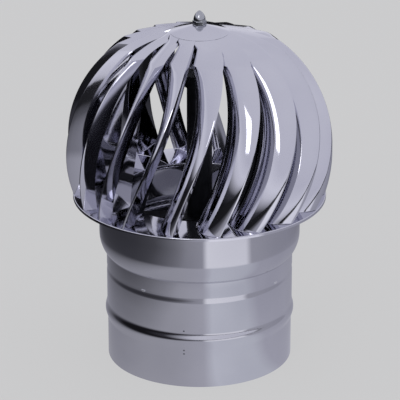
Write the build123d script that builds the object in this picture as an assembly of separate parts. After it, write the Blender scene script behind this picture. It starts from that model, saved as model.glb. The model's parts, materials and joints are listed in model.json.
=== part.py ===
from build123d import *
import os
from math import cos, degrees, radians, sin, sqrt

# Rotating chimney cowl (roof turbine ventilator) in stainless sheet.
# Millimetres, +Z up, origin at the centre of the bottom edge of the spigot.

# ---- fixed base: sheet and pipe -------------------------------------------
sheet = 0.6               # thickness of the rolled and pressed sheet
spigot_radius = 99.4      # outside, slides into a 200 mm flue
spigot_length = 42.0      # straight part below the stop bead
bead_height = 21.0        # stop bead, measured along the pipe
bead_crest = 2.5          # how far the bead stands out from the spigot
pipe_radius = 100.0       # outside of the pipe above the bead
pipe_length = 32.5        # straight part above the bead
shoulder_height = 7.0     # where the pipe necks down to enter the collar
neck_length = 16.0        # part of the neck above the shoulder
collar_lap = 14.1         # how much of the neck the collar covers

# ---- fixed base: collar and cup -------------------------------------------
collar_length = 15.0      # straight sleeve round the neck
cup_flare = 7.65          # how much the cup is wider than its sleeve, on the radius
cup_bulge = 33.2          # radius of the arc from sleeve to cup
cup_wall = 37.8           # straight wall of the cup above the arc
wire_radius = 1.6         # rolled edge at the cup's mouth
tack_radius = 2.6         # weld tacks along the collar's lower edge
tack_stand_off = 1.3      # how far a tack stands out from the neck
tack_count = 4
tack_gap = 0.02           # between a tack and the sheets it joins
tack_angle = -36.3        # first tack, from the front towards +X

# ---- spiders and bearing tube ---------------------------------------------
arm_count = 4
arm_width = 18.0
arm_sheet = 2.0
tab_length = 14.0         # bent end of each arm, welded to the wall
hub_disc_radius = 22.0
lower_spider_below_neck = 9.5    # from the start of the shoulder to the arm's top
upper_spider_above_arc = 17.5    # from the end of the cup's arc to the arm's top
tube_radius = 13.5
tube_foot = 22.0          # tube below the lower spider
tube_head = 158.0         # tube above the upper spider
tube_bore = 9.5           # between the bearing seats

# ---- bearings (8 x 22 x 7) ------------------------------------------------
shaft_radius = 4.0
bearing_radius = 11.0
bearing_width = 7.0
inner_ring_radius = 6.0
outer_ring_bore = 9.3
ball_radius = 1.98
ball_pitch = 7.65         # radius of the circle of balls
ball_count = 7
ball_play = 0.03
cage_wall = 0.9
cage_rim = 0.5            # cage above and below the pockets
cage_pocket_play = 0.1
shield_sheet = 0.3
shield_inset = 0.3
shield_play = 0.25
clip_thickness = 1.1
clip_radial = 1.9
clip_groove = 0.5         # depth of the groove in the tube
clip_gap = 6.0            # opening between the clip's ears
clip_ear_radius = 1.3
clip_ear_hole = 0.5       # radius of the hole for the pliers
clip_ear_inset = 0.4      # ear's middle inside the ring's inner edge
tube_lip = 3.0            # tube beyond the circlip

# ---- shaft stack ----------------------------------------------------------
nut_flats = 13.0
nut_height = 6.5
washer_radius = 7.4
washer_thickness = 1.4
spacer_radius = 5.6
shaft_foot = 3.0          # shaft below the lock nut
slinger_radius = 17.0
slinger_skirt = 13.0
slinger_gap = 1.0
acorn_flats = 13.0
acorn_hex = 5.6
acorn_crown = 10.6
shaft_bite = 11.0         # how far the shaft enters the acorn nut
thread_play = 0.02
blind_gap = 0.4           # bore beyond the end of the shaft
acorn_step = 0.15         # crown inside the hexagon's flats
acorn_full = 0.62         # share of the crown's height at which it still has most of its width
acorn_waist = 0.78        # width there, as a share of the crown's
shaft_chamfer = 0.5

# ---- rotor ball -----------------------------------------------------------
rotor_gap = 4.4           # from the cup's rolled edge up to the foot ring's upper face
turbine_radius = 142.4
ring_drop = 49.7          # from the ball's equator down to the foot ring
shoulder_radius = 86.0    # where the ball turns into the shallow cone
cone_rise = 23.9          # from the shoulder to the cone's tip
ring_inner_radius = 86.0
ring_proud = 1.8          # ring outside the feet of the blades
ring_sheet = 0.8
ring_outer_lip = 3.2
ring_inner_lip = 4.4
ring_bend = 0.72          # outside radius of the foot ring's bends

# ---- blades ---------------------------------------------------------------
blade_count = 18
blade_phase = -3.0        # one blade's edge at the equator, from the front
blade_sheet = 0.6
helix_foot = -8.3         # degrees the edge trails at the ring
helix_shoulder = 18.4     # degrees the edge leads at the shoulder
helix_tip = 19.0          # degrees the edge leads at the tip
depth_foot = 47.4         # radial depth of the blade at the ring
depth_middle = 46.7
depth_shoulder = 21.0
wrap_foot = 9.4           # degrees the inner edge trails the outer edge
wrap_middle = 5.3
wrap_shoulder = 16.0
wrap_tip = 18.4
crease_radius = 70.0      # where the blade's face turns up into the cone
crease_drop = 1.2         # inner edge below the neighbour on the cone
lip_foot = 13.0           # folded lip along the outer edge
lip_middle = 16.0
lip_shoulder = 9.0
lip_tip = 1.0
lip_lean = 0.24           # how much the lip leans forward for each mm inwards
lip_bend = 1.4            # width of the folded edge between lip and face
blade_tip_radius = 30.0

# Degrees by which each hand-set blade is turned at the ring, the equator and the shoulder.
foot_turns = [-1, 0, -1, -3, -3, -2, -1, 0, 1, 2, 3, 4, 5, 6, 7, 6, 0, -5]
equator_turns = [-2, 0, 1, 0, 0, 0, 0, 0, 0, 0, 0, 1, 2, 3, 3, 3, 0, -3]
shoulder_turns = [0, 2, 5, 6, 7, 7, 6, 5, 3, 1, -2, -5, -8, -11, -14, -10, -8, -6]

# ---- cap ------------------------------------------------------------------
cap_radius = 31.0
cap_sheet = 0.8
cap_seat_radius = 8.2     # flat in the middle for the nut
hub_plate_radius = 35.0
hub_plate_sheet = 2.0
seat_gap = 0.3            # between the blades' tips and the plates that clamp them
hub_boss_radius = 12.0
hub_boss_depth = 7.0
hub_plate_land = 4.0      # plate inside the blades' tips

# ---- places worked out from the sizes above -------------------------------
bead_top = spigot_length + bead_height
shoulder_foot = bead_top + pipe_length
neck_foot = shoulder_foot + shoulder_height
neck_top = neck_foot + neck_length
neck_radius = pipe_radius - sheet
collar_foot = neck_top - collar_lap
arc_foot = collar_foot + collar_length
cup_radius = pipe_radius + cup_flare
arc_centre_radius = cup_radius - cup_bulge
arc_rise = sqrt(cup_bulge ** 2 - (pipe_radius - arc_centre_radius) ** 2)
arc_top = arc_foot + arc_rise
cup_mouth = arc_top + cup_wall
cup_top = cup_mouth + wire_radius

lower_arm_top = shoulder_foot - lower_spider_below_neck
upper_arm_top = arc_top + upper_spider_above_arc
tube_foot_z = lower_arm_top - arm_sheet - tube_foot
tube_top_z = upper_arm_top + tube_head
lower_bearing_z = tube_foot_z + tube_lip + clip_thickness
upper_bearing_z = tube_top_z - tube_lip - clip_thickness - bearing_width

ring_top = cup_top + rotor_gap
equator = ring_top + ring_drop
shoulder_z = equator + sqrt(turbine_radius ** 2 - shoulder_radius ** 2)
cone_slope = cone_rise / shoulder_radius
cone_tip = shoulder_z + cone_rise
lower_nut_z = lower_bearing_z - washer_thickness - nut_height


def cone_height(radius):
    """Height of the blades' upper surface on the shallow cone."""
    return cone_tip - cone_slope * radius


def under_blades(radius):
    """Height just below the blades' tips, whose inner edges dip under the cone."""
    return cone_height(radius) - crease_drop - blade_sheet / 2 - seat_gap


cap_seat_z = cone_height(cap_seat_radius) + blade_sheet / 2 + seat_gap + cap_sheet
boss_foot = cap_seat_z - cap_sheet - hub_boss_depth
hub_washer_z = boss_foot - washer_thickness
hub_nut_z = hub_washer_z - nut_height
slinger_top = tube_top_z + slinger_gap + sheet
shaft_top = cap_seat_z + shaft_bite
shaft_bottom = lower_nut_z - shaft_foot


# ---- helpers --------------------------------------------------------------
def polar(radius, angle, z):
    """Point at an angle counted from the front (-Y) towards +X."""
    return Vector(radius * sin(radians(angle)), -radius * cos(radians(angle)), z)


def turned(face):
    """Solid of revolution of a face drawn in the XZ plane."""
    return revolve(face, Axis.Z)


def outline(points):
    """Face in the XZ plane from (radius, height) corners."""
    return make_face(Polyline([(r, 0, z) for r, z in points], close=True))


def tube(outer, inner, foot, top):
    return turned(outline([(inner, foot), (outer, foot), (outer, top), (inner, top)]))


def hexagon(flats, foot, height):
    return extrude(Plane.XY.offset(foot) * RegularPolygon(flats / sqrt(3), 6), height)


def nut(foot):
    return hexagon(nut_flats, foot, nut_height) - tube(shaft_radius, 0, foot, foot + nut_height)


def through(start, middle, end):
    """Parabola through three values, at 0, 1/2 and 1."""
    def value(t):
        bend = 2 * (start + end) - 4 * middle
        return start + (end - start - bend) * t + bend * t * t
    return value


# ---- fixed base -----------------------------------------------------------
def pipe_profile(inset):
    """Half section of the lower pipe from the spigot to the top of its neck."""
    crest = spigot_radius + bead_crest - inset
    spigot, body, neck = spigot_radius - inset, pipe_radius - inset, neck_radius - inset
    up = (0, 0, 1)
    bead = Spline([(spigot, 0, spigot_length), (crest, 0, spigot_length + bead_height / 2),
                   (body, 0, bead_top)], tangents=[up, up, up])
    shoulder = Spline([(body, 0, shoulder_foot), (neck, 0, neck_foot)], tangents=[up, up])
    return [Line((spigot, 0, 0), (spigot, 0, spigot_length)), bead,
            Line((body, 0, bead_top), (body, 0, shoulder_foot)), shoulder,
            Line((neck, 0, neck_foot), (neck, 0, neck_top))]


def lower_pipe():
    outer, inner = pipe_profile(0), pipe_profile(sheet)
    ends = [Line(outer[0] @ 0, inner[0] @ 0), Line(outer[-1] @ 1, inner[-1] @ 1)]
    return turned(make_face(outer + inner + ends))


def collar_cup():
    """Sleeve, arc and straight cup in one pressed sheet, with a rolled edge."""
    def half(inset):
        sleeve = pipe_radius - inset
        bulge = cup_bulge - inset
        foot = arc_top - sqrt(bulge ** 2 - (sleeve - arc_centre_radius) ** 2)
        middle = (sleeve + cup_radius - inset) / 2
        knee = arc_top - sqrt(bulge ** 2 - (middle - arc_centre_radius) ** 2)
        wall = cup_radius - inset
        return [Line((sleeve, 0, collar_foot), (sleeve, 0, foot)),
                ThreePointArc((sleeve, 0, foot), (middle, 0, knee), (wall, 0, arc_top)),
                Line((wall, 0, arc_top), (wall, 0, cup_mouth))]
    outer, inner = half(0), half(sheet)
    ends = [Line(outer[0] @ 0, inner[0] @ 0), Line(outer[-1] @ 1, inner[-1] @ 1)]
    shell = turned(make_face(outer + inner + ends))
    wire = Pos(0, 0, cup_mouth) * Torus(cup_radius - wire_radius, wire_radius)
    return shell + wire


def weld_tacks():
    """Small tacks in the corner under the collar's lower edge, one solid each."""
    inner = neck_radius + tack_gap
    corner = tube(neck_radius + tack_stand_off, inner, collar_foot - tack_radius,
                  collar_foot - tack_gap)
    tacks = []
    for i in range(tack_count):
        angle = tack_angle + i * 360 / tack_count
        place = Pos(polar(neck_radius, angle, collar_foot)) * Rot(0, 0, angle)
        tacks.append((place * Sphere(tack_radius) & corner).solid())
    return Compound(tacks)


def spider(arm_top, wall_radius):
    """Flat cross with each end bent down and shaped to the round wall."""
    arm_middle = arm_top - arm_sheet / 2
    cross = Pos(0, 0, arm_middle) * Cylinder(hub_disc_radius, arm_sheet)
    for i in range(arm_count):
        arm = Pos(wall_radius / 2, 0, arm_middle) * Box(wall_radius, arm_width, arm_sheet)
        tab = Pos(wall_radius - arm_sheet, 0, arm_top - tab_length / 2) * Box(
            arm_sheet * 3, arm_width, tab_length)
        keep = tube(wall_radius, wall_radius - arm_sheet, arm_top - tab_length, arm_top)
        cross += Rot(0, 0, i * 360 / arm_count) * (arm + (tab & keep))
    cross &= Pos(0, 0, arm_middle) * Cylinder(wall_radius, tab_length * 2 + arm_sheet)
    return cross - Pos(0, 0, arm_middle) * Cylinder(tube_radius, tab_length * 2)


def bearing_tube():
    """Long tube with a seat and a circlip groove at each end."""
    body = tube(tube_radius, tube_bore, tube_foot_z, tube_top_z)
    low_seat = lower_bearing_z + bearing_width
    body -= tube(bearing_radius, 0, tube_foot_z, low_seat)
    body -= tube(bearing_radius, 0, upper_bearing_z, tube_top_z)
    for groove in (lower_bearing_z - clip_thickness, upper_bearing_z + bearing_width):
        body -= tube(bearing_radius + clip_groove, 0, groove, groove + clip_thickness)
    return body


def circlip(foot):
    outer = bearing_radius + clip_groove
    ring = tube(outer, outer - clip_radial, foot, foot + clip_thickness)
    middle = foot + clip_thickness / 2
    ear_place = outer - clip_radial - clip_ear_inset
    ear_side = clip_gap / 2 + clip_ear_radius
    for side in (-1, 1):
        ear = Cylinder(clip_ear_radius, clip_thickness) - Cylinder(clip_ear_hole, clip_thickness * 2)
        ring += Pos(-ear_place, side * ear_side, middle) * ear
    return ring - Pos(-outer, 0, middle) * Box(clip_gap, clip_gap, clip_thickness * 2)


# ---- bearings -------------------------------------------------------------
def race_groove(foot):
    return Pos(0, 0, foot + bearing_width / 2) * Torus(ball_pitch, ball_radius + ball_play)


def outer_ring(foot):
    ring = tube(bearing_radius, outer_ring_bore, foot, foot + bearing_width)
    return ring - race_groove(foot)


def inner_ring(foot):
    ring = tube(inner_ring_radius, shaft_radius, foot, foot + bearing_width)
    return ring - race_groove(foot)


def shields(foot):
    """Two thin washers that close the bearing, fixed in the outer ring."""
    inner = inner_ring_radius + shield_play
    low = foot + shield_inset
    high = foot + bearing_width - shield_inset - shield_sheet
    return Compound([tube(outer_ring_bore, inner, z, z + shield_sheet).solid()
                     for z in (low, high)])


def ball_places(foot):
    middle = foot + bearing_width / 2
    return [Rot(0, 0, (i + 0.5) * 360 / ball_count) * Pos(ball_pitch, 0, middle)
            for i in range(ball_count)]


def balls(foot):
    return Compound([(place * Sphere(ball_radius)).solid() for place in ball_places(foot)])


def cage(foot):
    """Ring at the height of the balls with a round window for each."""
    ring = tube(ball_pitch + cage_wall, ball_pitch - cage_wall,
                foot + bearing_width / 2 - ball_radius - cage_rim,
                foot + bearing_width / 2 + ball_radius + cage_rim)
    for place in ball_places(foot):
        ring -= place * Rot(0, 90, 0) * Cylinder(ball_radius + cage_pocket_play, cage_wall * 4)
    return ring


# ---- shaft and hub --------------------------------------------------------
def shaft():
    rod = tube(shaft_radius, 0, shaft_bottom, shaft_top)
    return chamfer(rod.edges().filter_by(GeomType.CIRCLE), shaft_chamfer)


def washer(foot):
    return tube(washer_radius, shaft_radius, foot, foot + washer_thickness)


def slinger():
    """Small inverted cup on the shaft that keeps rain out of the tube."""
    skirt_foot = slinger_top - slinger_skirt
    inner = slinger_radius - sheet
    return turned(outline([
        (shaft_radius, upper_bearing_z + bearing_width), (spacer_radius, upper_bearing_z + bearing_width),
        (spacer_radius, slinger_top - sheet), (inner, slinger_top - sheet), (inner, skirt_foot),
        (slinger_radius, skirt_foot), (slinger_radius, slinger_top), (shaft_radius, slinger_top)]))


def acorn_nut():
    """Hexagon with a tall rounded crown and a blind bore."""
    crown_foot = cap_seat_z + acorn_hex
    crown_radius = acorn_flats / 2 - acorn_step
    crown = make_face([
        Line((0, 0, crown_foot), (crown_radius, 0, crown_foot)),
        Spline([(crown_radius, 0, crown_foot),
                (crown_radius * acorn_waist, 0, crown_foot + acorn_crown * acorn_full),
                (0, 0, crown_foot + acorn_crown)], tangents=[(0, 0, 1), (-1, 0, 0)]),
        Line((0, 0, crown_foot + acorn_crown), (0, 0, crown_foot))])
    body = hexagon(acorn_flats, cap_seat_z, acorn_hex) + turned(crown)
    bore = tube(shaft_radius + thread_play, 0, cap_seat_z, shaft_top + blind_gap)
    return body - bore


def cap():
    """Shallow pressed cone with a flat seat for the nut."""
    edge_z = cone_height(cap_radius) + blade_sheet / 2 + seat_gap
    seat_under = cap_seat_z - cap_sheet
    return turned(outline([
        (shaft_radius, seat_under), (cap_seat_radius, seat_under), (cap_radius, edge_z),
        (cap_radius, edge_z + cap_sheet), (cap_seat_radius, cap_seat_z),
        (shaft_radius, cap_seat_z)]))


def hub_plate():
    """Cone under the blades' tips, raised in the middle up to the cap."""
    seat_under = cap_seat_z - cap_sheet
    reach = blade_tip_radius - hub_plate_land
    return turned(outline([
        (shaft_radius, boss_foot), (hub_boss_radius, boss_foot),
        (hub_boss_radius, under_blades(hub_boss_radius) - hub_plate_sheet),
        (hub_plate_radius, under_blades(hub_plate_radius) - hub_plate_sheet),
        (hub_plate_radius, under_blades(hub_plate_radius)),
        (reach, under_blades(reach)), (reach, cone_height(reach)),
        (cap_seat_radius, seat_under), (shaft_radius, seat_under)]))


# ---- blades ---------------------------------------------------------------
blade_depth = through(depth_foot, depth_middle, depth_shoulder)
blade_wrap = through(wrap_foot, wrap_middle, wrap_shoulder)
lip_width = through(lip_foot, lip_middle, lip_shoulder)
ball_steps = 10
cone_radii = [(shoulder_radius + crease_radius) / 2, crease_radius,
              (crease_radius + blade_tip_radius) / 2, blade_tip_radius]
face_steps = 4


def edge_angle(index, height):
    """Angle of one blade's outer edge at a height between the ring and the shoulder."""
    index %= blade_count
    rise = (height - ring_top) / (shoulder_z - ring_top)
    middle = (equator - ring_top) / (shoulder_z - ring_top)
    low, level, high = foot_turns[index], equator_turns[index], shoulder_turns[index]
    if rise < middle:
        turn = low + (level - low) * rise / middle
    else:
        turn = level + (high - level) * (rise - middle) / (1 - middle)
    return (blade_phase + index * 360 / blade_count + turn
            + helix_foot + (helix_shoulder - helix_foot) * rise)


def spacing(index, height):
    """Gap to the blade before, as a share of the even spacing."""
    gap = (edge_angle(index, height) - edge_angle(index - 1, height)) % 360
    return gap * blade_count / 360


def sheet_row(radius, height, edge, depth, wrap, lip, climb):
    """Points across the sheet: lip end, both sides of the fold, then the face."""
    reach = lip * turbine_radius / max(radius, shoulder_radius)
    fold = degrees(lip_bend / 2 / radius)
    lean = degrees(lip * lip_lean / radius)
    row = [polar(radius - reach, edge + fold + lean, height), polar(radius, edge + fold, height),
           polar(radius, edge - fold, height)]
    for j in range(1, face_steps + 1):
        c = j / face_steps
        inner = radius - depth * c
        lift = (cone_height(inner) - crease_drop * c - height) * climb
        row.append(polar(inner, edge - fold - (wrap - fold) * c, height + lift))
    if climb:
        row[0] = row[0] + Vector(0, 0, -lip)
    return row


def sheet_rows(index):
    rows = []
    for i in range(ball_steps + 1):
        t = i / ball_steps
        z = ring_top + (shoulder_z - ring_top) * t
        radius = sqrt(turbine_radius ** 2 - (z - equator) ** 2)
        wrap = blade_wrap(t) * spacing(index, z)
        rows.append(sheet_row(radius, z, edge_angle(index, z), blade_depth(t), wrap, lip_width(t), 0))
    for radius in cone_radii:
        t = (shoulder_radius - radius) / (shoulder_radius - blade_tip_radius)
        climb = min(1, (shoulder_radius - radius) / (shoulder_radius - crease_radius))
        edge = edge_angle(index, shoulder_z) + (helix_tip - helix_shoulder) * t
        wrap = (wrap_shoulder + (wrap_tip - wrap_shoulder) * climb) * spacing(index, shoulder_z)
        depth = depth_shoulder * (1 - t)
        lip = lip_shoulder + (lip_tip - lip_shoulder) * climb
        rows.append(sheet_row(radius, cone_height(radius), edge, depth, wrap, lip, climb))
    return rows


def offset_row(rows, i):
    """One row moved to each side of the sheet by half its thickness, square to it."""
    row, before, after = rows[i], rows[max(i - 1, 0)], rows[min(i + 1, len(rows) - 1)]
    normals = []
    for j in range(len(row) - 1):
        along = (after[j] - before[j]) + (after[j + 1] - before[j + 1])
        normals.append(along.cross(row[j + 1] - row[j]).normalized())
    normals = [normals[0]] + normals + [normals[-1]]
    sides = ([], [])
    for j, point in enumerate(row):
        mitre = (normals[j] + normals[j + 1]) * (1 / (1 + normals[j].dot(normals[j + 1])))
        for side, sign in zip(sides, (1, -1)):
            place = point + mitre * (sign * blade_sheet / 2)
            if i == 0:
                place = Vector(place.X, place.Y, ring_top)
            side.append(place)
    return sides


def quad(a, b, c, d):
    """Two flat triangles that fill the four corners."""
    return [Face(Wire.make_polygon(corners, close=True)) for corners in ((a, b, c), (a, c, d))]


def blade(index):
    """Pressed sheet from ring to cap, flat between its fold lines, one closed solid."""
    rows = sheet_rows(index)
    sides = [offset_row(rows, i) for i in range(len(rows))]
    columns = len(rows[0])
    faces = []
    for (front, back), (next_front, next_back) in zip(sides, sides[1:]):
        for j in range(columns - 1):
            faces += quad(front[j], front[j + 1], next_front[j + 1], next_front[j])
            faces += quad(back[j + 1], back[j], next_back[j], next_back[j + 1])
        for j in (0, columns - 1):
            faces += quad(front[j], next_front[j], next_back[j], back[j])
    for front, back in (sides[0], sides[-1]):
        for j in range(columns - 1):
            faces += quad(front[j], back[j], back[j + 1], front[j + 1])
    return Solid(Shell(faces))


def foot_ring():
    """Flat annulus under the blades with a bent lip at each edge."""
    outer = sqrt(turbine_radius ** 2 - ring_drop ** 2) + ring_proud
    inner = ring_inner_radius
    under = ring_top - ring_sheet
    ring = turned(outline([
        (inner, ring_top), (outer, ring_top), (outer, ring_top - ring_outer_lip),
        (outer - ring_sheet, ring_top - ring_outer_lip), (outer - ring_sheet, under),
        (inner + ring_sheet, under), (inner + ring_sheet, ring_top - ring_inner_lip),
        (inner, ring_top - ring_inner_lip)]))
    top_edges = ring.edges().filter_by(GeomType.CIRCLE).group_by(Axis.Z)[-1]
    return fillet(top_edges, ring_bend)


# ---- build and write ------------------------------------------------------
nodes = {
    "lower_pipe": lower_pipe(),
    "collar_cup": collar_cup(),
    "weld_tacks": weld_tacks(),
    "lower_spider": spider(lower_arm_top, pipe_radius - sheet),
    "upper_spider": spider(upper_arm_top, cup_radius - sheet),
    "bearing_tube": bearing_tube(),
    "lower_circlip": circlip(lower_bearing_z - clip_thickness),
    "upper_circlip": circlip(upper_bearing_z + bearing_width),
    "shaft": shaft(),
    "lock_washer": washer(lower_bearing_z - washer_thickness),
    "lock_nut": nut(lower_nut_z),
    "rain_slinger": slinger(),
    "spacer_sleeve": tube(spacer_radius, shaft_radius, slinger_top, hub_nut_z),
    "hub_nut": nut(hub_nut_z),
    "hub_washer": washer(hub_washer_z),
    "hub_plate": hub_plate(),
    "top_cap": cap(),
    "acorn_nut": acorn_nut(),
    "foot_ring": foot_ring(),
}
for name, foot in (("lower", lower_bearing_z), ("upper", upper_bearing_z)):
    nodes[f"{name}_outer_ring"] = outer_ring(foot)
    nodes[f"{name}_inner_ring"] = inner_ring(foot)
    nodes[f"{name}_shields"] = shields(foot)
    nodes[f"{name}_balls"] = balls(foot)
    nodes[f"{name}_cage"] = cage(foot)
for i in range(blade_count):
    nodes[f"blade_{i + 1:02d}"] = blade(i)

os.makedirs("parts", exist_ok=True)
for name, piece in nodes.items():
    export_step(piece, f"parts/{name}.step")
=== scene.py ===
import bpy
import json
import math
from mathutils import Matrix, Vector


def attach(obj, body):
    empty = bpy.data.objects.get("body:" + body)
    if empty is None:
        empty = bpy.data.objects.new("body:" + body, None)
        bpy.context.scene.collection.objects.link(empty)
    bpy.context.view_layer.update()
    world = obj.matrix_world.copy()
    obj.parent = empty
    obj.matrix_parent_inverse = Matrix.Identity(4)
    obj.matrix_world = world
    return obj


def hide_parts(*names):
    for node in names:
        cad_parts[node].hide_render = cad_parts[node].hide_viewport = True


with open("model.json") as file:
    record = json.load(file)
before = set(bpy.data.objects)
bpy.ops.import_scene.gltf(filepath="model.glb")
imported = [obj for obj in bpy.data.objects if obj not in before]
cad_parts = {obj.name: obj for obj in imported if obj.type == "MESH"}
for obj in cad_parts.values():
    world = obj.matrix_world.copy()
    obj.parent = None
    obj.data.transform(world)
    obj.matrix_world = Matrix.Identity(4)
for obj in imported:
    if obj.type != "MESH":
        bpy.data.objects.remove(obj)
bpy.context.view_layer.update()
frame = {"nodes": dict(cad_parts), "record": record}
print("frame loaded:", len(frame["nodes"]), "nodes")


def mm(value):
    return value / 1000


# nothing selected and object mode, as every operator here expects
def tidySelection():
    if bpy.context.object and bpy.context.object.mode != "OBJECT":
        bpy.ops.object.mode_set(mode="OBJECT")
    bpy.ops.object.select_all(action="DESELECT")


def pick(piece):
    tidySelection()
    piece.select_set(True)
    bpy.context.view_layer.objects.active = piece


# the object's place goes into its mesh
def settle(piece, name):
    pick(piece)
    bpy.ops.object.transform_apply(location=True, rotation=True, scale=True)
    piece.name = name
    piece.data.name = name
    return piece


def addModifier(piece, kind, **values):
    pick(piece)
    modifier = piece.modifiers.new(kind.lower(), kind)
    for key, value in values.items():
        setattr(modifier, key, value)
    bpy.ops.object.modifier_apply(modifier=modifier.name)


def smooth(piece, degrees=35):
    pick(piece)
    bpy.ops.object.shade_smooth_by_angle(angle=math.radians(degrees))


def arc(centre, radius, fromDegrees, toDegrees, steps):
    points = []
    for i in range(steps + 1):
        angle = math.radians(fromDegrees + (toDegrees - fromDegrees) * i / steps)
        points.append((centre[0] + radius * math.cos(angle), centre[1] + radius * math.sin(angle)))
    return points


# a closed outline of (radius, height) in mm, drawn round the upright axis
def turnedWall(name, outline, around=288):
    tidySelection()
    start = outline[0]
    bpy.ops.mesh.primitive_circle_add(vertices=around, radius=mm(start[0]), location=(0, 0, mm(start[1])))
    wall = bpy.context.object
    bpy.ops.object.mode_set(mode="EDIT")
    bpy.ops.mesh.select_all(action="SELECT")
    for (radius, height), (nextRadius, nextHeight) in zip(outline, outline[1:] + outline[:1]):
        bpy.ops.mesh.extrude_region_move(TRANSFORM_OT_translate={"value": (0, 0, mm(nextHeight - height))})
        grow = nextRadius / radius
        bpy.ops.transform.resize(value=(grow, grow, 1), center_override=(0, 0, 0))
    bpy.ops.mesh.select_all(action="SELECT")
    bpy.ops.mesh.remove_doubles(threshold=mm(0.005))
    bpy.ops.mesh.normals_make_consistent(inside=False)
    bpy.ops.object.mode_set(mode="OBJECT")
    settle(wall, name)
    smooth(wall)
    return wall


def finishPiece(piece, material, body, node):
    piece.data.materials.clear()
    piece.data.materials.append(material)
    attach(piece, body)
    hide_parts(node)


def hexColour(code):
    values = [int(code[i:i + 2], 16) / 255 for i in (1, 3, 5)]
    return [v / 12.92 if v <= 0.04045 else ((v + 0.055) / 1.055) ** 2.4 for v in values] + [1]


# values that the node has are set on it, all others go to the socket of that name
def addNode(tree, kind, links=None, **values):
    node = tree.nodes.new(kind)
    for key, value in values.items():
        if hasattr(node, key):
            setattr(node, key, value)
        else:
            node.inputs[key.replace("_", " ")].default_value = value
    for socket, source in (links or {}).items():
        tree.links.new(source, node.inputs[socket])
    return node


def colourStops(ramp, stops):
    elements = ramp.color_ramp.elements
    while len(elements) < len(stops):
        elements.new(0.5)
    for element, (position, code) in zip(elements, stops):
        element.position = position
        element.color = hexColour(code)


def newMaterial(name):
    material = bpy.data.materials.new(name)
    material.use_nodes = True
    tree = material.node_tree
    tree.nodes.clear()
    shader = tree.nodes.new("ShaderNodeBsdfPrincipled")
    output = tree.nodes.new("ShaderNodeOutputMaterial")
    tree.links.new(shader.outputs["BSDF"], output.inputs["Surface"])
    return material, tree, shader


# noise scales per metre: the tint drifts over about 110 mm and the haze over 36 mm
sheetFinish = {"tintScale": 9.0, "tintFrom": 0.3, "tintTo": 0.7, "hazeScale": 28.0, "roughFrom": 0.03,
               "roughTo": 0.10}


# mirror-rolled sheet: clear reflections that swim a little where the sheet isn't quite flat
def polishedSheet(name, light, dark, waveHeight, waveScale):
    f = sheetFinish
    material, tree, shader = newMaterial(name)
    place = addNode(tree, "ShaderNodeTexCoord")
    cloud = addNode(tree, "ShaderNodeTexNoise", {"Vector": place.outputs["Object"]}, Scale=f["tintScale"],
                    Detail=3.0)
    tint = addNode(tree, "ShaderNodeValToRGB", {"Fac": cloud.outputs["Fac"]})
    colourStops(tint, ((f["tintFrom"], dark), (f["tintTo"], light)))
    haze = addNode(tree, "ShaderNodeTexNoise", {"Vector": place.outputs["Object"]}, Scale=f["hazeScale"],
                   Detail=5.0)
    rough = addNode(tree, "ShaderNodeMapRange", {"Value": haze.outputs["Fac"]}, To_Min=f["roughFrom"],
                    To_Max=f["roughTo"])
    wave = addNode(tree, "ShaderNodeTexNoise", {"Vector": place.outputs["Object"]}, Scale=waveScale, Detail=1.5)
    bump = addNode(tree, "ShaderNodeBump", {"Height": wave.outputs["Fac"]}, Strength=1.0,
                   Distance=mm(waveHeight))
    shader.inputs["Metallic"].default_value = 1.0
    tree.links.new(tint.outputs["Color"], shader.inputs["Base Color"])
    tree.links.new(rough.outputs["Result"], shader.inputs["Roughness"])
    tree.links.new(bump.outputs["Normal"], shader.inputs["Normal"])
    return material


# small round dark spots on a finished sheet, each fading out from its middle
def addPits(material, places, size, spotColour):
    tree = material.node_tree
    shader = tree.nodes["Principled BSDF"]
    sheetColour = shader.inputs["Base Color"].links[0].from_socket
    place = addNode(tree, "ShaderNodeTexCoord")
    nearest = None
    for spot in places:
        gap = addNode(tree, "ShaderNodeVectorMath", {0: place.outputs["Object"]}, operation="DISTANCE")
        gap.inputs[1].default_value = spot / 1000
        if nearest is None:
            nearest = gap.outputs["Value"]
        else:
            nearest = addNode(tree, "ShaderNodeMath", {0: nearest, 1: gap.outputs["Value"]},
                              operation="MINIMUM").outputs[0]
    soft = addNode(tree, "ShaderNodeMapRange", {"Value": nearest}, From_Min=mm(size * 0.5),
                   From_Max=mm(size * 1.3))
    darkSpot = addNode(tree, "ShaderNodeMix", {0: soft.outputs["Result"], 7: sheetColour}, data_type="RGBA")
    darkSpot.inputs[6].default_value = hexColour(spotColour)
    tree.links.new(darkSpot.outputs[2], shader.inputs["Base Color"])


# turned, ground or plated metal: one grain drives its tint, gloss and relief
# the real grain is too fine to show, so it is drawn 2 to 11 mm wide
def dullMetal(name, light, dark, roughFrom, roughTo, grainScale):
    material, tree, shader = newMaterial(name)
    place = addNode(tree, "ShaderNodeTexCoord")
    cloud = addNode(tree, "ShaderNodeTexNoise", {"Vector": place.outputs["Object"]}, Scale=grainScale, Detail=6.0)
    tint = addNode(tree, "ShaderNodeValToRGB", {"Fac": cloud.outputs["Fac"]})
    colourStops(tint, ((0.0, dark), (1.0, light)))
    rough = addNode(tree, "ShaderNodeMapRange", {"Value": cloud.outputs["Fac"]}, To_Min=roughFrom, To_Max=roughTo)
    bump = addNode(tree, "ShaderNodeBump", {"Height": cloud.outputs["Fac"]}, Strength=0.4, Distance=mm(0.004))
    shader.inputs["Metallic"].default_value = 1.0
    tree.links.new(tint.outputs["Color"], shader.inputs["Base Color"])
    tree.links.new(rough.outputs["Result"], shader.inputs["Roughness"])
    tree.links.new(bump.outputs["Normal"], shader.inputs["Normal"])
    return material


# bright sheet, hand bent: wide waves of 70 mm, nearly half a millimetre deep
rotorSheet = polishedSheet("mirrorRolledStainless", "#DADAE2", "#CCCCD6", 0.45, 14.0)
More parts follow.
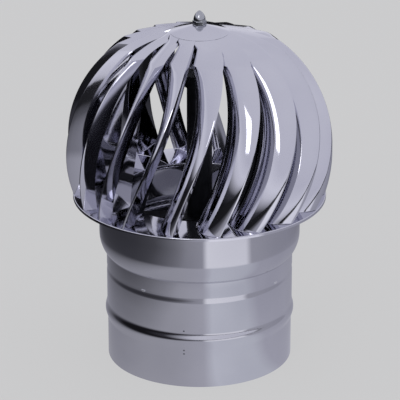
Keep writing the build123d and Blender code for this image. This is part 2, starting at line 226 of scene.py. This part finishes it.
# the same sheet rolled into a tube is a shade darker and lies flatter
baseSheet = polishedSheet("mirrorRolledStainlessPipe", "#D2D2D8", "#C2C2CA", 0.25, 11.0)
pits = {"bearing": math.radians(-9.5), "size": 0.9, "colour": "#4A4A50",
        "places": ((100.0, 64.5), (99.4, 42.0), (99.4, 38.0))}  # radius and height of three small dark spots
addPits(baseSheet, [Vector((radius * math.sin(pits["bearing"]), -radius * math.cos(pits["bearing"]), height))
                    for radius, height in pits["places"]], pits["size"], pits["colour"])
# black passivated zinc: nearly black and satin, mottled every 11 mm
zincSteel = dullMetal("blackZincedSteel", "#3A3B3F", "#26272A", 0.4, 0.6, 90.0)
# turned bar: bright, with a soft blur in its gloss
barSteel = dullMetal("turnedStainless", "#BFC1C6", "#A9ABB0", 0.12, 0.22, 220.0)
# phosphated spring steel: black and almost without gloss
darkSteel = dullMetal("phosphatedSpringSteel", "#2C2C2E", "#1D1D1F", 0.5, 0.7, 300.0)
# ground bearing steel: a little warmer and darker than the sheet
ringSteel = dullMetal("groundBearingSteel", "#B9BABD", "#A6A7AA", 0.1, 0.2, 300.0)
# fresh weld: whiter than the sheet round it
tackSteel = dullMetal("tackWeld", "#F0F0F2", "#D0D0D4", 0.08, 0.16, 400.0)


# moulded natural nylon: waxy and cream, mottled every 4 mm
def mouldedNylon():
    material, tree, shader = newMaterial("naturalNylon")
    place = addNode(tree, "ShaderNodeTexCoord")
    mottle = addNode(tree, "ShaderNodeTexNoise", {"Vector": place.outputs["Object"]}, Scale=260.0, Detail=4.0)
    tint = addNode(tree, "ShaderNodeValToRGB", {"Fac": mottle.outputs["Fac"]})
    colourStops(tint, ((0.3, "#CBC09C"), (0.7, "#D8CFAE")))
    tree.links.new(tint.outputs["Color"], shader.inputs["Base Color"])
    shader.inputs["Roughness"].default_value = 0.45
    shader.inputs["IOR"].default_value = 1.53
    return material


slotFinish = {"bright_sheet": rotorSheet, "weld_metal": tackSteel, "plated_steel": zincSteel,
              "stainless_bar": barSteel, "spring_steel": darkSteel, "bearing_steel": ringSteel,
              "cage_polymer": mouldedNylon()}
for part in frame["record"]["subparts"]:
    node = frame["nodes"][part["node"]]
    node.data.materials.clear()
    node.data.materials.append(slotFinish[part["material_slot"]])
print("materials on the frame")

pipe = {"spigotRadius": 99.4, "beadFoot": 42.0, "beadTop": 63.0, "beadCrest": 2.5, "bodyRadius": 100.0,
        "bodyRow": 80.0, "shoulderFoot": 95.5, "neckFoot": 102.5, "top": 118.5, "sheet": 0.6, "steps": 10}


# a soft S from one point to the next, without its first point
def easeBetween(a, b, steps):
    points = []
    for i in range(1, steps + 1):
        t = i / steps
        s = t * t * (3 - 2 * t)
        points.append((a[0] + (b[0] - a[0]) * s, a[1] + (b[1] - a[1]) * t))
    return points


def pipeOutline():
    p = pipe
    crest = (p["spigotRadius"] + p["beadCrest"], (p["beadFoot"] + p["beadTop"]) / 2)
    outer = [(p["spigotRadius"], 0.0), (p["spigotRadius"], p["beadFoot"] * 0.5),
             (p["spigotRadius"], p["beadFoot"])]
    outer += easeBetween(outer[-1], crest, p["steps"])
    outer += easeBetween(crest, (p["bodyRadius"], p["beadTop"]), p["steps"])
    outer += [(p["bodyRadius"], p["bodyRow"]), (p["bodyRadius"], p["shoulderFoot"])]
    outer += easeBetween(outer[-1], (p["bodyRadius"] - p["sheet"], p["neckFoot"]), 8)
    outer += [(p["bodyRadius"] - p["sheet"], p["top"])]
    inner = [(radius - p["sheet"], height) for radius, height in reversed(outer)]
    return outer + inner


# the rows part long straight walls, so that their shading stays straight
cup = {"foot": 104.4, "sleeveRow": 112.0, "wallRow": 160.0, "sleeveTop": 119.4, "sleeveRadius": 100.0,
       "radius": 107.65, "bulge": 33.2, "arcTop": 140.6, "mouth": 178.4, "wire": 1.6, "sheet": 0.6, "steps": 18}


def cupOutline():
    c = cup
    centre = (c["radius"] - c["bulge"], c["arcTop"])
    startAngle = -math.degrees(math.acos((c["sleeveRadius"] - centre[0]) / c["bulge"]))
    outer = [(c["sleeveRadius"], c["foot"]), (c["sleeveRadius"], c["sleeveRow"]),
             (c["sleeveRadius"], c["sleeveTop"] - 0.4)]
    outer += arc(centre, c["bulge"], startAngle, 0, c["steps"])
    outer += [(c["radius"], c["arcTop"] + 1.0), (c["radius"], c["wallRow"]), (c["radius"], c["mouth"] - 1.2)]
    wireCentre = (c["radius"] - c["wire"] + 0.1, c["mouth"])
    outer += arc(wireCentre, c["wire"], 0, 200, 14)
    inner = [(c["radius"] - c["sheet"], c["mouth"] - 2.2), (c["radius"] - c["sheet"], c["arcTop"])]
    inner += arc(centre, c["bulge"] - c["sheet"], 0, startAngle, c["steps"])[1:]
    inner += [(c["sleeveRadius"] - c["sheet"], c["foot"])]
    return outer + inner


pipePiece = turnedWall("spigotPipe", pipeOutline())
cupPiece = turnedWall("collarCup", cupOutline())
for piece, node in ((pipePiece, "lower_pipe"), (cupPiece, "collar_cup")):
    finishPiece(piece, baseSheet, "base", node)
print("pipe and cup")

# lengths in mm and angles in degrees
rotor = {
    "ballRadius": 142.4, "equator": 234.1, "ringTop": 184.4, "ringGap": 0.3, "shoulderRadius": 86.0,
    "coneRise": 23.9, "tipRadius": 30.0, "bladeCount": 18, "phase": -3.0, "sheet": 0.6,
    "leadFoot": -8.3, "leadShoulder": 18.4,  # how far the outer edges run round the ball
    "tipDrift": 0.6, "driftFrom": -12.0,  # per mm, the tips' sideways drift on the cone
    "depth": (47.4, 46.7, 21.0),  # from outer to inner edge, at ring, equator and shoulder
    "wrap": (9.4, 5.3, 16.0), "wrapTip": 18.4, "wrapEnd": 1.4,  # how far the face lies back behind its edge
    "lip": (13.0, 16.0, 9.0), "lipTip": 1.0, "lipLean": 0.24,  # the folded lip
    "foldHalf": 0.7, "foldWidth": 8.0, "crest": 0.1, "tuck": 0.7,
    "shoulderAt": 0.7,  # share of a blade's rows that lies on the ball
    "rows": 90, "columns": 40,
    # radius at which each blade's face turns up into the cone
    "foldRadii": (46, 62, 70, 78, 80, 82, 82, 82, 82, 80, 74, 62, 50, 42, 38, 34, 36, 40),
    # how far each face is rolled out between its edges
    "bulges": (3.2, 5.2, 5.2, 4.8, 4.5, 4.5, 4.5, 4.5, 4.5, 4, 3, 2, 1, 0.5, 0.5, 0.5, 0.8, 1.2),
    "lifts": {2: 7.0},  # mm by which a blade's face is pressed up between ring and shoulder
    # turn of each hand-set blade at the ring, the equator and the shoulder
    "turns": ((-1, -2, 0), (0, 0, 2), (-1, 1, 5), (-3, 0, 6), (-3, 0, 7), (-2, 0, 7), (-1, 0, 6), (0, 0, 5),
              (1, 0, 3), (2, 0, 1), (3, 0, -2), (4, 1, -5), (5, 2, -8), (6, 3, -11), (7, 3, -14), (6, 3, -10),
              (0, 0, -8), (-5, -3, -6)),
}
overSeam = 0.01  # heights just above the shoulder, so that the cone's rules hold there
shoulderHeight = rotor["equator"] + math.sqrt(rotor["ballRadius"] ** 2 - rotor["shoulderRadius"] ** 2)
coneTip = shoulderHeight + rotor["coneRise"]


# the even curve that passes start, middle and end value at 0, a half and 1
def through(values, t):
    bend = 2 * (values[0] + values[2]) - 4 * values[1]
    return values[0] + (values[2] - values[0] - bend) * t + bend * t * t


def polar(radius, angle, height):
    turn = math.radians(angle)
    return Vector((radius * math.sin(turn), -radius * math.cos(turn), height))


def coneHeight(radius):
    return coneTip - rotor["coneRise"] / rotor["shoulderRadius"] * radius


# where a blade's outer edge stands, in degrees round the axis
def edgeAngle(index, radius, height):
    r = rotor
    index %= r["bladeCount"]
    low, level, high = r["turns"][index]
    rise = min(1, (height - r["ringTop"]) / (shoulderHeight - r["ringTop"]))
    middle = (r["equator"] - r["ringTop"]) / (shoulderHeight - r["ringTop"])
    first, second = (level - low) / middle, (high - level) / (1 - middle)
    turn = low + rise * (first + (second - first) * (rise - middle))
    angle = r["phase"] + index * 360 / r["bladeCount"] + turn
    angle += r["leadFoot"] + (r["leadShoulder"] - r["leadFoot"]) * rise
    if height > shoulderHeight:
        drift = r["tipDrift"] * (r["shoulderRadius"] - radius)
        angle += drift * math.sin(math.radians(angle - r["driftFrom"]))
    return angle


# gap to the blade before, as a share of the even one
def spacing(index, radius, height):
    gap = (edgeAngle(index, radius, height) - edgeAngle(index - 1, radius, height)) % 360
    return gap * rotor["bladeCount"] / 360


# radius, height, depth, wrap, lip and climb of a blade at t, from ring to cap
def bladeStation(index, t):
    r = rotor
    split = r["shoulderAt"]
    if t <= split:
        k = t / split
        height = r["ringTop"] + r["ringGap"] + (shoulderHeight - r["ringTop"] - r["ringGap"]) * k
        radius = math.sqrt(r["ballRadius"] ** 2 - (height - r["equator"]) ** 2)
        wrap = through(r["wrap"], k) * spacing(index, radius, height)
        return radius, height, through(r["depth"], k), wrap, through(r["lip"], k), 0
    k = (t - split) / (1 - split)
    radius = r["shoulderRadius"] + (r["tipRadius"] - r["shoulderRadius"]) * k
    height = coneHeight(radius) + overSeam
    climb = min(1, max(0, (r["foldRadii"][index] + r["foldWidth"] - radius) / r["foldWidth"]))
    climb = climb * climb * (3 - 2 * climb)
    atTip = r["wrapTip"] + r["wrapEnd"] * k * k
    wrap = (r["wrap"][2] + (atTip - r["wrap"][2]) * climb) * spacing(index, radius, height)
    depth = r["depth"][2] * (1 - k * k)
    neighbour = edgeAngle(index - 1, radius - depth, height)
    room = (edgeAngle(index, radius, height) - neighbour) % 360
    lip = r["lip"][2] * (1 - climb) + r["lipTip"] * climb
    return radius, height, depth, min(wrap, room + 2), lip, climb


# lip, fold and face lie side by side: 0 is the lip's free edge and 1 the face's inner edge
def bladePoint(index, across, t):
    r = rotor
    radius, height, depth, wrap, lip, climb = bladeStation(index, t)
    edge = edgeAngle(index, radius, height)
    fold = math.degrees(r["foldHalf"] / radius)
    reach = lip * r["ballRadius"] / max(radius, r["shoulderRadius"])
    rise = (height - r["ringTop"]) / (shoulderHeight - r["ringTop"])
    pressed = r["lifts"].get(index, 0) * math.sin(math.pi * min(rise, 1)) ** 0.7 if rise < 1 else 0

    def onFace(c):
        inner = radius - depth * c
        lift = (coneHeight(inner) - r["tuck"] * c * min(1, depth / 8) - height) * climb + pressed * c
        swell = r["bulges"][index] * (1 - climb) * math.sin(math.pi * c ** 0.75)  # fullest near the fold
        return polar(inner, edge - fold - (wrap - fold) * c - swell, height + lift)

    def onLip(c):
        turned = edge + fold + math.degrees(lip * r["lipLean"] * c / radius)
        return polar(radius - reach * c, turned, height - lip * c * climb)

    if across < 0.2:
        return onLip(1 - across / 0.2)
    if across > 0.3:
        return onFace((across - 0.3) / 0.7)
    s = (across - 0.2) / 0.1
    crest = polar(radius + r["crest"] * (1 - climb), edge, height)
    return onLip(0) * (1 - s) ** 2 + crest * (2 * s * (1 - s)) + onFace(0) * s ** 2


# a flat grid laid over the blade's form and given the sheet's thickness
def bladeSheet(index):
    tidySelection()
    bpy.ops.mesh.primitive_grid_add(x_subdivisions=rotor["columns"], y_subdivisions=rotor["rows"], size=1)
    blade = bpy.context.object
    for vertex in blade.data.vertices:
        vertex.co = bladePoint(index, vertex.co.x + 0.5, vertex.co.y + 0.5) / 1000
    addModifier(blade, "SOLIDIFY", thickness=mm(rotor["sheet"]), offset=0)
    settle(blade, f"bladeSheet_{index + 1:02d}")
    smooth(blade, 40)
    return blade


for i in range(rotor["bladeCount"]):
    finishPiece(bladeSheet(i), rotorSheet, "rotor", f"blade_{i + 1:02d}")
print("blades")

footRing = {"top": 184.4, "outer": 135.2, "inner": 86.0, "sheet": 0.8, "outerLip": 3.2, "innerLip": 4.4,
            "bend": 1.1, "corner": 0.3}


def footRingOutline():
    f = footRing
    low = f["top"] - f["sheet"]
    outline = [(f["inner"], f["top"] - f["innerLip"])]
    outline += arc((f["inner"] + f["bend"], f["top"] - f["bend"]), f["bend"], 180, 90, 6)
    outline += arc((f["outer"] - f["bend"], f["top"] - f["bend"]), f["bend"], 90, 0, 6)
    outline += [(f["outer"], f["top"] - f["outerLip"]), (f["outer"] - f["sheet"], f["top"] - f["outerLip"]),
                (f["outer"] - f["sheet"], low - f["corner"]),
                (f["outer"] - f["sheet"] - f["corner"], low),
                (f["inner"] + f["sheet"] + f["corner"], low), (f["inner"] + f["sheet"], low - f["corner"]),
                (f["inner"] + f["sheet"], f["top"] - f["innerLip"])]
    return outline


cap = {"bore": 4.0, "land": 8.2, "rim": 31.0, "top": 370.45, "around": 144}


# the rim is feathered down so that cap and blades read as one cone
def capOutline():
    c = cap
    under, rim = coneHeight(c["land"]) + 0.6, coneHeight(c["rim"])
    outline = [(c["bore"], under), (c["land"], under), (c["rim"], rim + 0.32), (c["rim"] + 0.1, rim + 0.42)]
    outline += [(radius, coneHeight(radius) + above) for radius, above in ((30.6, 0.5), (20.0, 0.95), (9.4, 1.3))]
    return outline + [(8.6, c["top"]), (7.6, c["top"] + 0.1), (c["bore"], c["top"] + 0.1)]


ringPiece = turnedWall("footRing", footRingOutline())
capPiece = turnedWall("topCap", capOutline(), cap["around"])
for piece, node in ((ringPiece, "foot_ring"), (capPiece, "top_cap")):
    finishPiece(piece, rotorSheet, "rotor", node)
print("ring and cap")

acorn = {"foot": 370.55, "flats": 13.0, "hex": 5.6, "crown": 10.6, "bevel": 0.5, "land": 0.15, "tipRadius": 0.3,
         "fullness": 0.62, "rings": 24}


def acornNut():
    a = acorn
    tidySelection()
    bpy.ops.mesh.primitive_cylinder_add(vertices=6, radius=mm(a["flats"] / math.sqrt(3)), depth=mm(a["hex"]),
                                        location=(0, 0, mm(a["foot"] + a["hex"] / 2)),
                                        rotation=(0, 0, math.radians(30)))
    hexagon = bpy.context.object
    settle(hexagon, "acornHex")
    addModifier(hexagon, "BEVEL", width=mm(a["bevel"]), segments=3, limit_method="ANGLE")
    smooth(hexagon, 40)
    foot = a["foot"] + a["hex"] - 0.3
    widest = a["flats"] / 2 - a["land"]
    profile = [(a["tipRadius"], foot), (widest - 0.4, foot), (widest, foot + 0.5)]
    for i in range(1, a["rings"] + 1):
        t = i / a["rings"]
        radius = widest * math.cos(math.pi / 2 * t) ** a["fullness"]
        profile.append((max(a["tipRadius"], radius), foot + 0.5 + (a["crown"] - 0.3) * t))
    crown = turnedWall("acornCrown", profile, 96)
    tidySelection()
    hexagon.select_set(True)
    crown.select_set(True)
    bpy.context.view_layer.objects.active = crown
    bpy.ops.object.join()
    crown.name = "acornNut"
    crown.data.name = "acornNut"
    return crown


finishPiece(acornNut(), barSteel, "rotor", "acorn_nut")
print("acorn nut")

view = {"place": (0, -2.6962, 1.2375), "down": 21.535, "lens": 243.48, "sensor": 36, "shift": 0.00125}
bpy.ops.object.camera_add(location=view["place"], rotation=(math.radians(90 - view["down"]), 0, 0))
camera = bpy.context.object
camera.data.lens = view["lens"]
camera.data.sensor_width = view["sensor"]
camera.data.shift_x = view["shift"]
camera.data.shift_y = view["shift"]
camera.data.clip_end = 50
bpy.context.scene.camera = camera
print("camera")

studio = {
    "floorSize": 16, "floorSeen": "#CCCCCC", "floorPaint": "#B8B8B8", "floorShaded": "#EEEEEC",
    "shadowShare": 0.16,  # this much of the seen floor is lit by the room and takes the object's shadow
    # painted light on the floor, seen only in reflections: its brightness by distance from glowMiddle as a share
    # of glowReach
    "glowMiddle": (1.5, -0.1, 0.0), "glowReach": 5.0,
    "glow": ((0.33, "#FFFFFF"), (0.372, "#9A9A9A"), (0.43, "#404040")),
    # and by bearing round the object, from the back by way of the left, the front and the right
    "near": ((0.0, "#8C8C98"), (0.3, "#A6A6AE"), (0.44, "#B4B4BC"), (0.51, "#BCBCC6"), (0.535, "#D6D8E2"),
             (0.64, "#CCCED8"), (0.68, "#B8B8C4"), (0.8, "#B0B0BC"), (1.0, "#8C8C98")),
    "far": ((0.0, "#6C6C76"), (0.3, "#80808A"), (0.44, "#94949C"), (0.508, "#A8A8B2"), (0.522, "#F8F8FF"),
            (0.635, "#F0F0F8"), (0.652, "#B0B0BA"), (0.8, "#A0A0AC"), (1.0, "#6C6C76")),
    "nearEnds": 0.36, "farStarts": 0.42,
    # the room from straight down to straight up, leaning to the right
    "sky": ((0.0, "#08080A"), (0.36, "#18181C"), (0.43, "#3C3C42"), (0.51, "#D6D6E0"), (0.56, "#E4E4EE"),
            (0.66, "#D0D0DC"), (1.0, "#D8D8E2")),
    "skyLean": 0.3,
    "lamp": {"place": (-0.39, -1.22, 1.2), "turn": (54, 0, -22), "size": (0.42, 0.55), "watts": 1.7},
}


# painted light on the floor, which a mirror finish meets: a painted pool, bright in a sector at the front, dim
# towards the left
def paintedFloorLight(tree):
    place = addNode(tree, "ShaderNodeTexCoord")
    parts = addNode(tree, "ShaderNodeSeparateXYZ", {"Vector": place.outputs["Object"]})
    away = addNode(tree, "ShaderNodeVectorMath", {0: place.outputs["Object"]}, operation="SUBTRACT")
    away.inputs[1].default_value = studio["glowMiddle"]
    reach = addNode(tree, "ShaderNodeVectorMath", {0: away.outputs[0]}, operation="LENGTH")
    share = addNode(tree, "ShaderNodeMapRange", {"Value": reach.outputs["Value"]}, From_Max=studio["glowReach"])
    glow = addNode(tree, "ShaderNodeValToRGB", {"Fac": share.outputs["Result"]})
    colourStops(glow, studio["glow"])
    front = addNode(tree, "ShaderNodeMath", {0: parts.outputs["Y"]}, operation="MULTIPLY")
    front.inputs[1].default_value = -1.0
    bearing = addNode(tree, "ShaderNodeMath", {0: parts.outputs["X"], 1: front.outputs[0]}, operation="ARCTAN2")
    turn = addNode(tree, "ShaderNodeMapRange", {"Value": bearing.outputs[0]}, From_Min=-math.pi, From_Max=math.pi)
    near = addNode(tree, "ShaderNodeValToRGB", {"Fac": turn.outputs["Result"]})
    colourStops(near, studio["near"])
    far = addNode(tree, "ShaderNodeValToRGB", {"Fac": turn.outputs["Result"]})
    colourStops(far, studio["far"])
    span = addNode(tree, "ShaderNodeVectorMath", {0: place.outputs["Object"]}, operation="LENGTH")
    farther = addNode(tree, "ShaderNodeMapRange", {"Value": span.outputs["Value"]}, From_Min=studio["nearEnds"],
                      From_Max=studio["farStarts"])
    both = addNode(tree, "ShaderNodeMix", {0: farther.outputs["Result"], 6: near.outputs["Color"],
                                           7: far.outputs["Color"]}, data_type="RGBA")
    sheen = addNode(tree, "ShaderNodeMix", {6: both.outputs[2], 7: glow.outputs["Color"]}, data_type="RGBA",
                    blend_type="MULTIPLY")
    sheen.inputs[0].default_value = 1.0
    return sheen.outputs[2]


def paleFloor():
    material = bpy.data.materials.new("paleFloor")
    material.use_nodes = True
    tree = material.node_tree
    tree.nodes.clear()
    # glossy rays meet the painted pool of light, a glow on the floor though it is no lamp
    paintedPool = addNode(tree, "ShaderNodeEmission", {"Color": paintedFloorLight(tree)}, Strength=1.0)
    paint = addNode(tree, "ShaderNodeBsdfDiffuse", Color=hexColour(studio["floorPaint"]))
    plain = addNode(tree, "ShaderNodeEmission", Color=hexColour(studio["floorSeen"]), Strength=1.0)
    shaded = addNode(tree, "ShaderNodeBsdfDiffuse", Color=hexColour(studio["floorShaded"]))
    seen = addNode(tree, "ShaderNodeMixShader", {1: plain.outputs[0], 2: shaded.outputs[0]},
                   Fac=studio["shadowShare"])
    ray = addNode(tree, "ShaderNodeLightPath")
    unseen = addNode(tree, "ShaderNodeMixShader", {0: ray.outputs["Is Glossy Ray"], 1: paint.outputs[0],
                                                   2: paintedPool.outputs[0]})
    mix = addNode(tree, "ShaderNodeMixShader", {0: ray.outputs["Is Camera Ray"], 1: unseen.outputs[0],
                                                2: seen.outputs[0]})
    addNode(tree, "ShaderNodeOutputMaterial", {"Surface": mix.outputs[0]})
    return material


tidySelection()
bpy.ops.mesh.primitive_plane_add(size=studio["floorSize"])
floor = bpy.context.object
floor.name = "studioFloor"
floor.data.materials.append(paleFloor())
print("floor")

light = studio["lamp"]
bpy.ops.object.light_add(type="AREA", location=light["place"], rotation=[math.radians(a) for a in light["turn"]])
lamp = bpy.context.object
lamp.name = "softLeft"
lamp.data.shape = "RECTANGLE"
lamp.data.size, lamp.data.size_y = light["size"]
lamp.data.energy = light["watts"]


# the room is bright above and to the right, dim low on the left
def roomLight(world):
    world.use_nodes = True
    tree = world.node_tree
    tree.nodes.clear()
    place = addNode(tree, "ShaderNodeTexCoord")
    parts = addNode(tree, "ShaderNodeSeparateXYZ", {"Vector": place.outputs["Generated"]})
    lean = addNode(tree, "ShaderNodeMath", {0: parts.outputs["X"], 2: parts.outputs["Z"]},
                   operation="MULTIPLY_ADD")
    lean.inputs[1].default_value = studio["skyLean"]
    spread = addNode(tree, "ShaderNodeMapRange", {"Value": lean.outputs[0]}, From_Min=-1.0, From_Max=1.0)
    sky = addNode(tree, "ShaderNodeValToRGB", {"Fac": spread.outputs["Result"]})
    colourStops(sky, studio["sky"])
    glow = addNode(tree, "ShaderNodeBackground", {"Color": sky.outputs["Color"]}, Strength=1.0)
    addNode(tree, "ShaderNodeOutputWorld", {"Surface": glow.outputs[0]})


bpy.context.scene.world = bpy.data.worlds.new("studio")
roomLight(bpy.context.scene.world)
print("lamp and room")

bpy.context.scene.view_settings.view_transform = "Standard"
